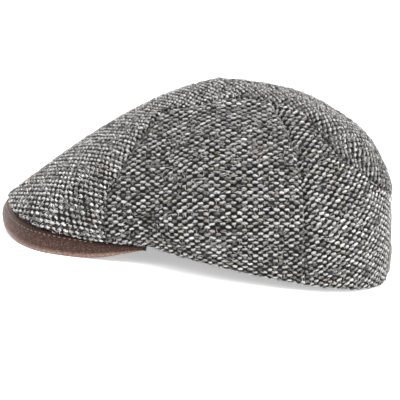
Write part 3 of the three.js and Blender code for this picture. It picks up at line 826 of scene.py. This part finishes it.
def makePeak():
    azimuth, root, under, tip, swell, outward = peakRows()
    radius = peak["lipRadius"]
    taper = (crown["peakEnd"] - np.abs(azimuth)) / peak["taperSpan"]
    taper = np.clip(taper, peak["taperLeast"], 1)[:, None]
    down = unit(tip - under)
    inside = unit(np.cross(np.gradient(tip, axis=0), down))
    inside = np.where(np.sum(inside * outward, -1, keepdims=True) > 0, -inside, inside)
    middle = tip - down * radius * taper + inside * radius * taper * 0.75
    top = [root * (1 - t) + under * t for t in np.linspace(0, 1, peak["underSteps"])]
    start = under
    end = middle - inside * radius * taper
    hang = []
    for t in np.linspace(0, 1, peak["hemSteps"])[1:]:
        bow = 4 * t * (1 - t)
        hang.append(start * (1 - t) + end * t + swell * peak["hemSwell"] * bow)
    lip = [middle - inside * radius * taper * math.cos(a) + down * radius * taper * math.sin(a)
           for a in np.linspace(-0.35, math.pi, peak["lipSteps"])[1:]]
    wall = crown["leatherWall"]
    drop = np.array((0, 0, wall))
    back = [
        end + inside * wall * 1.1 * taper,
        end * 0.45 + under * 0.55 + inside * wall * taper,
        under - drop * taper + inside * wall * 0.5,
    ]
    back += [root * (1 - t) + under * t - drop for t in (0.75, 0.4, 0)]
    rows = top + hang + lip + back
    paleEdge = np.zeros(len(rows))
    shade = np.zeros(len(rows))
    first = len(top) + len(hang)
    # paler colour rising into the lip
    paleEdge[first - 2] = 0.3
    paleEdge[first - 1] = 0.7
    paleEdge[first:first + len(lip) - 2] = 1.0
    # painted shadow: the rows under the cloth and the first rows below its edge are darkened towards the
    # deep brown
    shade[:len(top)] = 1
    shade[len(top):len(top) + 5] = (0.85, 0.6, 0.35, 0.18, 0.06)
    points = np.stack(rows + [rows[0]], 1)
    points[..., 2] = np.maximum(points[..., 2], 0.02)
    paleEdge, shade = np.append(paleEdge, paleEdge[0]), np.append(shade, shade[0])
    piece, i, j = gridPiece("leatherPeak", points, 1)
    piece.data.attributes.new("paleEdge", "FLOAT", "POINT").data.foreach_set("value", paleEdge[j])
    piece.data.attributes.new("shade", "FLOAT", "POINT").data.foreach_set("value", shade[j])
    piece.data.materials.append(peakMaterial)
    bpy.ops.object.mode_set(mode="EDIT")
    bpy.ops.mesh.select_all(action="SELECT")
    bpy.ops.mesh.remove_doubles(threshold=0.02 * mm)
    bpy.ops.mesh.select_all(action="DESELECT")
    bpy.ops.mesh.select_non_manifold()
    bpy.ops.mesh.fill_holes(sides=0)
    bpy.ops.mesh.select_all(action="SELECT")
    bpy.ops.mesh.normals_make_consistent(inside=False)
    bpy.ops.object.mode_set(mode="OBJECT")
    bpy.ops.object.shade_smooth_by_angle(angle=math.radians(50))
    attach(piece, body)
    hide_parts("peak")
    print("peak", len(piece.data.polygons), "faces")
    return azimuth, start, end, swell, inside


# Pale thread stitched along the peak, close below the cloth's edge
stitching = dict(
    length=2.1, pitch=3.7, thickness=0.4, below=0.27, reach=41, nearAt=50, nearSpan=26, sink=0.12,
)


def threadFinish():
    thread = Finish("stitchThread", Roughness=0.7, Sheen_Weight=0.2)
    spot = thread.add("ShaderNodeTexCoord", output=3)
    twist = thread.add("ShaderNodeTexNoise", Vector=spot, Scale=900.0, Detail=2.0)
    thread.give("Base Color", blendColours(thread, twist, (0.25, 0.15, 0.12, 1), (0.34, 0.215, 0.185, 1)))
    return thread.material


threadMaterial = threadFinish()


def sew(name, line, inward, stitch):
    # rounded stitches evenly along a line, joined in one mesh
    run = np.concatenate([[0], np.cumsum(np.linalg.norm(np.diff(line, axis=0), axis=1))])
    count = int(run[-1] / stitch["pitch"])
    deselect()
    bpy.ops.mesh.primitive_uv_sphere_add(segments=8, ring_count=6, radius=0.5)
    piece = bpy.context.object
    piece.name = name
    shape = np.array([v.co for v in piece.data.vertices])
    faces = [tuple(f.vertices) for f in piece.data.polygons]
    points, quads = [], []
    for k in range(count):
        at = (k + 0.5) * stitch["pitch"]
        spot, ahead, behind = (np.array([np.interp(at + d, run, line[:, c]) for c in range(3)])
                               for d in (0, 0.5, -0.5))
        way = unit(ahead - behind)
        out = unit(-np.array([np.interp(at, run, inward[:, c]) for c in range(3)]))
        side = np.cross(way, out)
        points.append(spot + np.outer(shape[:, 0] * stitch["length"], way)
                      + np.outer(shape[:, 1] * stitch["thickness"] * 1.3, side)
                      + np.outer(shape[:, 2] * stitch["thickness"], out))
        quads += [tuple(v + k * len(shape) for v in f) for f in faces]
    piece.data.clear_geometry()
    piece.data.from_pydata([tuple(p) for p in np.concatenate(points) * mm], [], quads)
    piece.data.materials.append(threadMaterial)
    bpy.ops.object.shade_smooth()
    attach(piece, body)
    print(name, count, "stitches")


def sewPeak(azimuth, start, end, swell, inside):
    near = np.clip((stitching["nearAt"] - np.abs(azimuth)) / stitching["nearSpan"], 0.3, 1)
    t = stitching["below"] * near[:, None]
    bow = 4 * t * (1 - t)
    line = start * (1 - t) + end * t + swell * peak["hemSwell"] * bow - inside * stitching["sink"]
    wide = np.abs(azimuth) < stitching["reach"]
    sew("peakStitches", line[wide], inside[wide], stitching)


# The plain patch at the nape
patch = dict(width=44, height=16, lift=5.9, wall=1.7, stand=0.35, acrossSteps=40, upSteps=16, round=0.45)
patchSewing = dict(length=1.7, pitch=2.5, thickness=0.4, columns=1.6, rows=1.8)


def makePatch():
    halfSpan = math.degrees(math.asin(patch["width"] / 2 / rimHalfWidth))
    azimuth = 180 + np.linspace(-halfSpan, halfSpan, patch["acrossSteps"] + 1)
    shares = np.linspace(0.55, 1, 400)
    points = np.zeros((len(azimuth), patch["upSteps"] + 1, 3))
    for k, turn in enumerate(azimuth):
        places = np.outer(shares, onRim(turn))
        column = plainCrown(places)
        inward = -crownNormal(places)
        goals = patch["lift"] + patch["height"] * np.linspace(0, 1, patch["upSteps"] + 1)
        for c in range(3):
            points[k, :, c] = np.interp(goals, column[::-1, 2],
                                        (column - inward * (patch["stand"] + patch["wall"]))[::-1, c])
    normals = gridNormals(points, 1)
    i, j = patchSewing["columns"], patchSewing["rows"]
    i2, j2 = patch["acrossSteps"] - i, patch["upSteps"] - j
    corners = [(i, j), (i2, j), (i2, j2), (i, j2), (i, j)]
    ring = np.concatenate([np.linspace(corners[k], corners[k + 1], 20) for k in range(4)])
    sew("patchStitches", pick(points, ring[:, 0], ring[:, 1]), -pick(normals, ring[:, 0], ring[:, 1]),
        patchSewing)
    piece, i, j = gridPiece("napePatch", points, 1)
    piece.data.materials.append(patchMaterial)
    # paler colour along the patch's edges
    paleEdge = ((i == 0) | (i == patch["acrossSteps"]) | (j == 0) | (j == patch["upSteps"])).astype(float)
    piece.data.attributes.new("paleEdge", "FLOAT", "POINT").data.foreach_set("value", paleEdge)
    wall = piece.modifiers.new("wall", "SOLIDIFY")
    wall.thickness = patch["wall"] * mm
    wall.offset = -1
    bpy.ops.object.modifier_apply(modifier="wall")
    soft = piece.modifiers.new("soft", "BEVEL")
    soft.width = patch["round"] * mm
    soft.segments = 3
    soft.angle_limit = math.radians(50)
    bpy.ops.object.modifier_apply(modifier="soft")
    bpy.ops.object.shade_smooth_by_angle(angle=math.radians(40))
    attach(piece, body)
    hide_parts("nape_patch")
    print("patch", len(piece.data.polygons), "faces")


# The camera as fitted to the outline: millimetres, degrees and pixels of the 400 pixel image
lens = dict(aimHeight=7.5, above=13.43, roll=7.8, distance=1500, perPixel=0.73, aimPixel=(247.87, 243.84),
            image=400, sensor=36)


def makeCamera():
    above, roll = math.radians(lens["above"]), math.radians(lens["roll"])
    back = Vector((math.cos(above), -math.sin(above) * math.sin(roll), math.sin(above) * math.cos(roll)))
    up = Vector((-math.sin(above), -math.cos(above) * math.sin(roll), math.cos(above) * math.cos(roll)))
    right = up.cross(back)
    aim = Vector((0, rowShift, lens["aimHeight"]))
    half = lens["image"] / 2
    aside = (half - lens["aimPixel"][0]) * lens["perPixel"]
    raised = (lens["aimPixel"][1] - half) * lens["perPixel"]
    spot = aim + right * aside + up * raised + back * lens["distance"]
    bpy.ops.object.camera_add()
    camera = bpy.context.object
    camera.matrix_world = Matrix.Translation(spot * mm) @ Matrix((right, up, back)).transposed().to_4x4()
    camera.data.sensor_width = lens["sensor"]
    camera.data.lens = lens["sensor"] * lens["distance"] / (lens["perPixel"] * lens["image"])
    camera.data.clip_end = 20
    bpy.context.scene.camera = camera
    print("camera lens", round(camera.data.lens, 1))


studio = dict(floorSize=12, floorColour=(0.9, 0.9, 0.9, 1), floorGlow=0.45, sky=0.95)
lamps = dict(  # place in metres, size and power
    overhead=((0.2, 0.1, 1.5), 1.6, 20),
    behind=((-1.3, -0.3, 0.9), 1.2, 13),
    front=((0.7, -1.4, 0.7), 1.2, 12),
    back=((1.0, 1.4, 0.5), 1.2, 13),
)


def makeStudio():
    deselect()
    bpy.ops.mesh.primitive_plane_add(size=studio["floorSize"])
    floor = bpy.context.object
    floor.name = "floor"
    paper = Finish("paper", Base_Color=studio["floorColour"], Roughness=0.9, Emission_Color=(1, 1, 1, 1),
                   Emission_Strength=studio["floorGlow"])
    floor.data.materials.append(paper.material)
    for name, (place, size, power) in lamps.items():
        bpy.ops.object.light_add(type="AREA", location=place)
        lamp = bpy.context.object
        lamp.name = name
        lamp.data.size = size
        lamp.data.energy = power
        lamp.rotation_euler = (Vector((0, 0, 0.05)) - Vector(place)).to_track_quat("-Z", "Y").to_euler()
    world = bpy.data.worlds.new("studioSky")
    world.use_nodes = True
    sky = world.node_tree.nodes["Background"]
    sky.inputs["Color"].default_value = (1, 1, 1, 1)
    sky.inputs["Strength"].default_value = studio["sky"]
    bpy.context.scene.world = world
    bpy.context.scene.view_settings.view_transform = "Standard"
    print("studio ready")


makeCamera()
for name, panel in panels.items():
    makePanel(name, panel)
sewPeak(*makePeak())
makePatch()
makeStudio()
